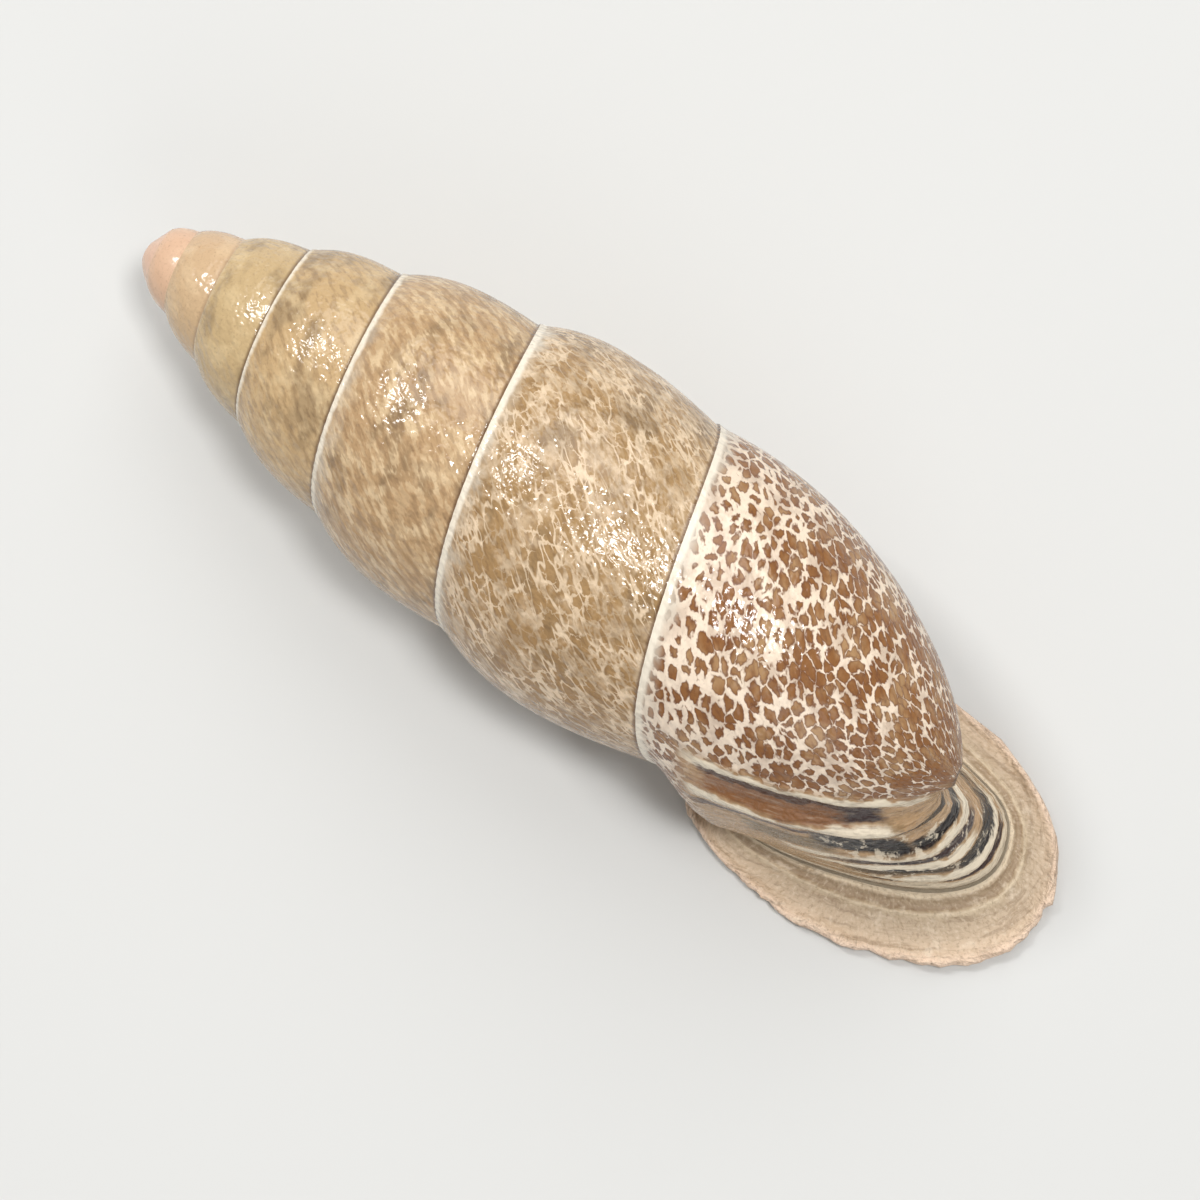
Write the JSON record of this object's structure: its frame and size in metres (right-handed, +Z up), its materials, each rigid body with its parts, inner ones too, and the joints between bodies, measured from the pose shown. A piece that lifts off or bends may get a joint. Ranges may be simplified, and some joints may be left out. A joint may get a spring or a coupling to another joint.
{
  "type": "land snail shell",
  "caption": "Slender high-spired right-handed snail shell, lying on its mouth, with bulging whorls, a narrow neck and a wide oval flared lip.",
  "frame": {"origin": "centre of the shell's box, on the surface that the shell lies on", "axes": "+X along the spire from the apex towards the mouth, +Z up through the back of the shell, +Y to the right seen from above with the apex at the top"},
  "size_m": [0.0272, 0.0092, 0.0084],
  "materials": {
    "shell": "glossy, cream net over red-brown cells"
  },
  "bodies": {
    "root": {"shell": "shell"}
  },
  "joints": []
}
